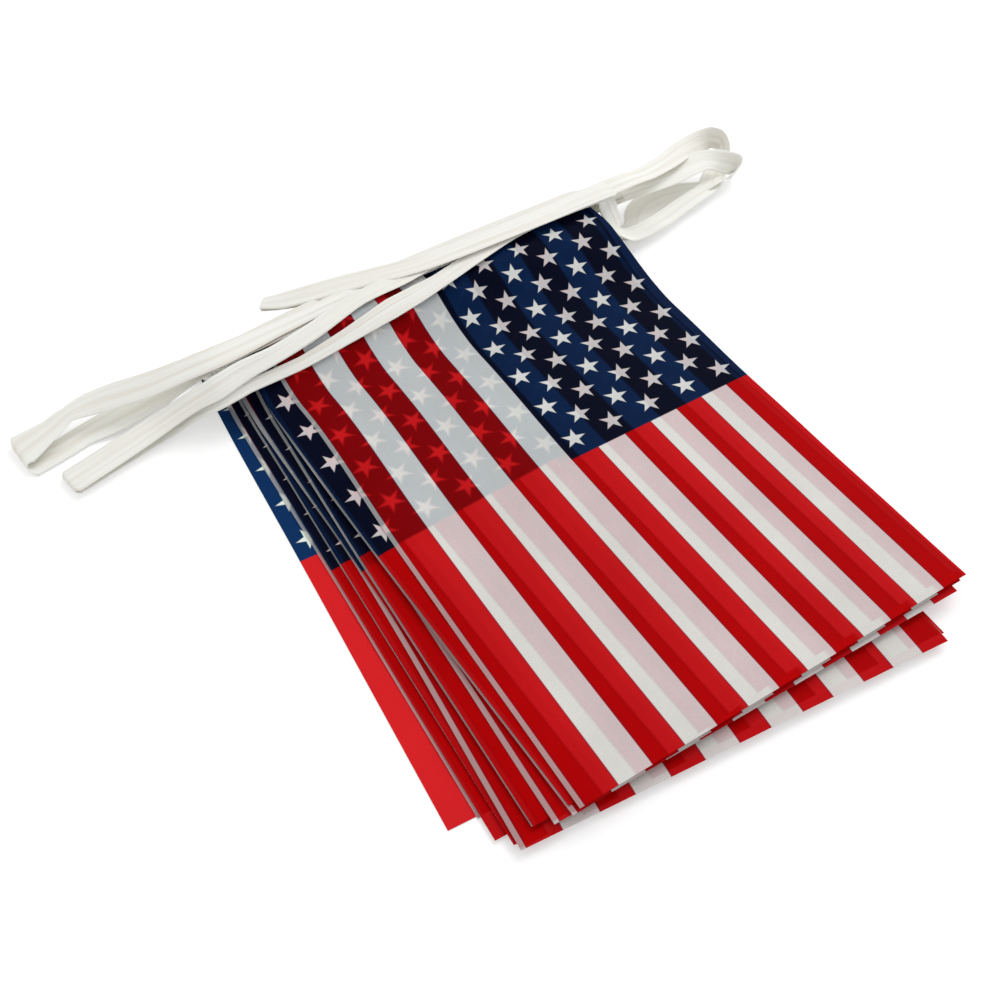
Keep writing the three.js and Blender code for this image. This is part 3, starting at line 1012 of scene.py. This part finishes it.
@dataclass
class HeaderTape:
    """The band that carries the flags: strands on every layer, folds, loops and free leads."""

    pile: Pile
    width: float = 20.0
    seam_gap: float = 0.3
    thickness: float = 1.0
    steps: int = 8
    fold_steps: int = 12
    fold_rounding: float = 0.25
    profile_points: int = 13
    fullness: float = 0.42
    squareness: int = 8
    thinnest: float = 0.04
    seam_shares: tuple[float, ...] = (-0.015, 1 / 6, 1 / 3, 1 / 2, 2 / 3, 5 / 6, 1.015)

    def strand_point(self, layer: int, along: float) -> Array:
        """Middle of the strand sewn to a flag.

        Args:
            layer: The flag's layer.
            along: Distance along the flag's top edge.

        Returns:
            The point.
        """
        place = self.pile.places[layer]
        turn = math.radians(place.turn_top)
        out = self.width / 2 + self.seam_gap
        x = place.top_x + along * math.cos(turn) + out * math.sin(turn)
        y = place.top_y - along * math.sin(turn) + out * math.cos(turn)
        y -= self.pile.slump(layer, x, y)
        return np.array([x, y, self.pile.height(layer, x, y)])

    def turn_point(self, layer: int, past: float) -> Array:
        """Where the tape folds between a strand and the next.

        Args:
            layer: The upper strand's layer.
            past: How far past the flags it folds.

        Returns:
            Plan x and y.
        """
        sign = self.pile.facing(layer).value
        ends = [
            self.strand_point(k, self.pile.places[k].waist if sign > 0 else 0)
            for k in (layer, layer + 1)
        ]
        edge = sign * max(sign * end[0] for end in ends)
        return np.array([edge + sign * past, (ends[0][1] + ends[1][1]) / 2])

    def strand_rows(self, layer: int, start: Array | None, end: Array | None) -> list[TapeRow]:
        """Rows of one strand in the order in which the tape runs.

        Args:
            layer: Its layer.
            start: Plan point where it starts, or None.
            end: Plan point where it ends, or None.

        Returns:
            The rows.
        """
        place = self.pile.places[layer]
        sense = self.pile.facing(layer).value
        turn = math.radians(place.turn_top)
        along = (sense * math.cos(turn), -sense * math.sin(turn))
        seam = []
        for share in self.seam_shares:
            x, y, z = self.strand_point(layer, share * place.waist)
            low, high = (self.pile.height(layer, x, y + side * self.width / 2) for side in (-1, 1))
            seam.append(TapeRow(x, y, z, 0, self.width, along, (high - low) / self.width))
        if sense < 0:
            seam.reverse()
        ends = [
            [] if plan is None else [TapeRow(*plan, self.pile.height(layer, *plan))]
            for plan in (start, end)
        ]
        return ends[0] + seam + ends[1]

    def run(self, rows: list[TapeRow], flip: int) -> list[Station]:
        """Cross-sections along a run.

        Args:
            rows: The run's rows.
            flip: Side that the width points to, 1 or -1.

        Returns:
            The stations.
        """
        steps = self.steps
        points = np.array([[row.x, row.y, row.z] for row in rows])
        places, tangents = smooth_curve(points, steps)
        stations = []
        for i, (place, tangent) in enumerate(zip(places, tangents)):
            k, part = divmod(i, steps)
            following = min(k + 1, len(rows) - 1)
            row, coming = rows[k], rows[following]
            seamed = row.along is not None and (part == 0 or coming.along is not None)
            if seamed:
                tangent = np.array([*row.along, 0.0])
                if part:
                    place = blend(points[k], points[following], part, steps)
            level = np.cross([0, 0, 1], tangent)
            level *= flip / np.linalg.norm(level)
            rise = np.cross(tangent, level)
            if seamed:
                slope = blend(row.slope, coming.slope, part, steps)
                lean = math.atan(slope) * np.sign(level[1] * rise[2])
            else:
                lean = math.radians(blend(row.lean, coming.lean, part, steps))
            width = level * math.cos(lean) + rise * math.sin(lean)
            spread = blend(row.width, coming.width, part, steps)
            stations.append(Station(place, tangent, width, spread))
        return stations

    def fold(self, start: Station, end: Station) -> list[Station]:
        """Cross-sections round a flat fold.

        Args:
            start: Last station before it.
            end: First station after it.

        Returns:
            The stations between.
        """
        middle = (start.point + end.point) / 2
        arm = start.point - middle
        reach = float(np.linalg.norm(arm))
        forward = start.tangent * np.array([1, 1, 0])
        forward = forward / np.linalg.norm(forward)
        stations = []
        for i in range(1, self.fold_steps):
            turn = math.pi * i / self.fold_steps
            point = middle + arm * math.cos(turn) + forward * reach * math.sin(turn)
            tangent = forward * math.cos(turn) - arm / reach * math.sin(turn)
            width = blend(start.width, end.width, i, self.fold_steps)
            spread = blend(start.spread, end.spread, i, self.fold_steps)
            spread *= 1 - self.fold_rounding * math.sin(turn)
            stations.append(Station(point, tangent, width / np.linalg.norm(width), spread))
        return stations

    def stations(self) -> list[Station]:
        """Every cross-section of the tape, from one free end to the other.

        Returns:
            The stations.
        """
        pile = self.pile
        start: Array | None = None
        runs = [TAIL_BACK, TAIL, CROSSING, LEAD]
        current: list[TapeRow] = list(RETURN)
        for layer in range(len(pile.places)):
            past = TURNS_PAST[layer] if layer < pile.lowest else None
            end = None if past is None else self.turn_point(layer, past)
            current += self.strand_rows(layer, start, end)
            start = end
            if end is not None:
                runs.append(current)
                current = []
            elif layer < pile.lowest:
                current += SIDE_LOOP
        runs.append([*current, LAST_END])
        found: list[Station] = []
        flip = -1
        for rows in runs:
            run = self.run(rows, flip)
            if found:
                found += self.fold(found[-1], run[0])
            found += run
            flip = -flip
        return found

    def profile(self) -> Array:
        """Closed cross-section: offset along the width and height above the middle.

        Returns:
            Rows of offset and height, going round.
        """
        half = self.width / 2
        offsets = np.linspace(-half, half, self.profile_points)
        rounding = np.clip(1 - (offsets / half) ** self.squareness, self.thinnest, 1)
        body = self.thickness * self.fullness * np.sqrt(rounding)
        upper = np.column_stack([offsets, body])
        lower = np.column_stack([offsets[::-1], -body[::-1]])
        return np.vstack([upper, lower])

    def build(self, finish: WovenTape) -> bpy.types.Object:
        """Makes the tape.

        Args:
            finish: Its finish.

        Returns:
            The tape.
        """
        stations = self.stations()
        profile = self.profile()
        count = len(profile)
        points, places = [], []
        travelled = 0.0
        for i, station in enumerate(stations):
            if i:
                travelled += float(np.linalg.norm(station.point - stations[i - 1].point))
            normal = np.cross(station.tangent, station.width)
            normal = normal / np.linalg.norm(normal)
            spread = station.spread / self.width
            sideways = profile[:, :1] * spread * station.width
            points.append(station.point + sideways + profile[:, 1:] * normal)
            share = profile[:, 0] / self.width + 0.5
            places.append(np.column_stack([np.full(count, travelled * MM), share]))
        ring = np.arange(count)
        following = np.roll(ring, -1)
        faces = []
        for i in range(len(stations) - 1):
            low, high = i * count, (i + 1) * count
            corners = (low + ring, high + ring, high + following, low + following)
            faces.append(np.column_stack(corners))
        scene_points = self.pile.to_scene(*np.vstack(points).T)
        made = mesh_object("header_tape_band", scene_points, np.vstack(faces), finish.material())
        paint_places(made, "band", np.vstack(places))
        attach(made, BODY)
        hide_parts("header_tape")
        LOG.info("tape: %.2f m long, %d stations", travelled * MM, len(stations))
        return made


@dataclass(frozen=True)
class Studio:
    """Plain pale floor, soft light and the camera.

    The floor and the world look the same white to the camera, and light the object a little less.
    """

    camera_place: tuple[float, float, float] = (-521.9, -669.1, 684.0)
    looking: tuple[float, float, float] = (0.34117, 0.53560, -0.77248)
    upward: tuple[float, float, float] = (0.41185, 0.65354, 0.63503)
    lens: float = 45.09
    sensor: float = 36.0
    near_and_far: tuple[float, float] = (0.01, 100.0)
    floor_size: float = 40.0
    floor_roughness: float = 0.9
    floor_specular: float = 0.1
    floor_colour: Colour = (0.98, 0.98, 0.98, 1)
    seen_floor_colour: Colour = (0.72, 0.72, 0.72, 1)
    floor_glow: float = 0.37
    white: Colour = (1, 1, 1, 1)
    sky: float = 0.78
    lamp_place: tuple[float, float, float] = (2.0, 1.0, 2.6)
    lamp_size: float = 2.0
    lamp_power: float = 40.0

    def add_camera(self, pile: Pile) -> None:
        """Sets up the camera.

        Args:
            pile: Gives the shift from pile to scene.
        """
        data = bpy.data.cameras.new("camera")
        data.lens = self.lens
        data.sensor_width = self.sensor
        data.clip_start, data.clip_end = self.near_and_far
        camera = bpy.data.objects.new("camera", data)
        bpy.context.scene.collection.objects.link(camera)
        back = -Vector(self.looking).normalized()
        up = Vector(self.upward).normalized()
        right = up.cross(back).normalized()
        up = back.cross(right)
        turn = Matrix((right, up, back)).transposed().to_4x4()
        place = (Vector(self.camera_place) + Vector(pile.shift)) * MM
        camera.matrix_world = Matrix.Translation(place) @ turn
        bpy.context.scene.camera = camera

    def add_floor(self) -> None:
        """Lays the white floor."""
        half = self.floor_size / 2
        signs = ((-1, -1), (1, -1), (1, 1), (-1, 1))
        points = np.array([[x * half, y * half, 0] for x, y in signs])
        material = bpy.data.materials.new("studio_floor")
        material.use_nodes = True
        shader = material.node_tree.nodes["Principled BSDF"]
        sheet = NodeSheet(material.node_tree)
        seen = sheet.seen()
        for name, value in (
            ("Roughness", self.floor_roughness),
            ("Specular IOR Level", self.floor_specular),
            ("Base Color", sheet.mix(seen, self.floor_colour, self.seen_floor_colour)),
            ("Emission Color", self.white),
            ("Emission Strength", sheet.math("MULTIPLY", seen, self.floor_glow)),
        ):
            sheet.feed(shader.inputs[name], value)
        floor = mesh_object("studio_floor", points, np.array([[0, 1, 2, 3]]), material)

    def light(self) -> None:
        """Sets up the world and a soft square lamp aimed at the middle of the object."""
        world = bpy.data.worlds.new("studio_world")
        bpy.context.scene.world = world
        world.use_nodes = True
        background = world.node_tree.nodes["Background"]
        background.inputs["Color"].default_value = self.white
        sheet = NodeSheet(world.node_tree)
        sheet.feed(background.inputs["Strength"], sheet.math("MAXIMUM", sheet.seen(), self.sky))
        data = bpy.data.lights.new("key_lamp", "AREA")
        data.shape = "SQUARE"
        data.size = self.lamp_size
        data.energy = self.lamp_power
        lamp = bpy.data.objects.new("key_lamp", data)
        lamp.location = self.lamp_place
        lamp.rotation_euler = (-Vector(self.lamp_place)).to_track_quat("-Z", "Y").to_euler()
        bpy.context.scene.collection.objects.link(lamp)


def place_pile() -> Pile:
    """Lines the pile up with the solids.

    Returns:
        The pile, with its shift set.
    """
    pile = Pile()
    bottom = pile.lowest
    corner_x, _ = pile.plan(bottom, np.array([0.0]), np.array([pile.length]))
    _, top_y = pile.plan(bottom, np.array([0.0]), np.array([0.0]))
    low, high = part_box(f"flag_{bottom + 1:02d}")
    pile.shift = np.array([low.x / MM - corner_x[0], high.y / MM - top_y[0], low.z / MM])
    LOG.info("pile shift %s mm", np.round(pile.shift, 3))
    return pile


def main() -> None:
    """Builds the string of flags and the studio around it."""
    logging.basicConfig(level=logging.INFO, format="%(message)s")
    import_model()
    bpy.context.scene.view_settings.view_transform = "Standard"
    pile = place_pile()
    studio = Studio()
    studio.add_camera(pile)
    studio.add_floor()
    studio.light()
    print_group = FlagPrint().group()
    cloth = PrintedCloth()
    for layer in range(pile.lowest, -1, -1):
        flag = Flag(pile, layer)
        flag.build(cloth, print_group)
        LOG.info("%s: stars to the %s", flag.node, pile.facing(layer).name.lower())
    HeaderTape(pile).build(WovenTape())


if __name__ == "__main__":
    main()
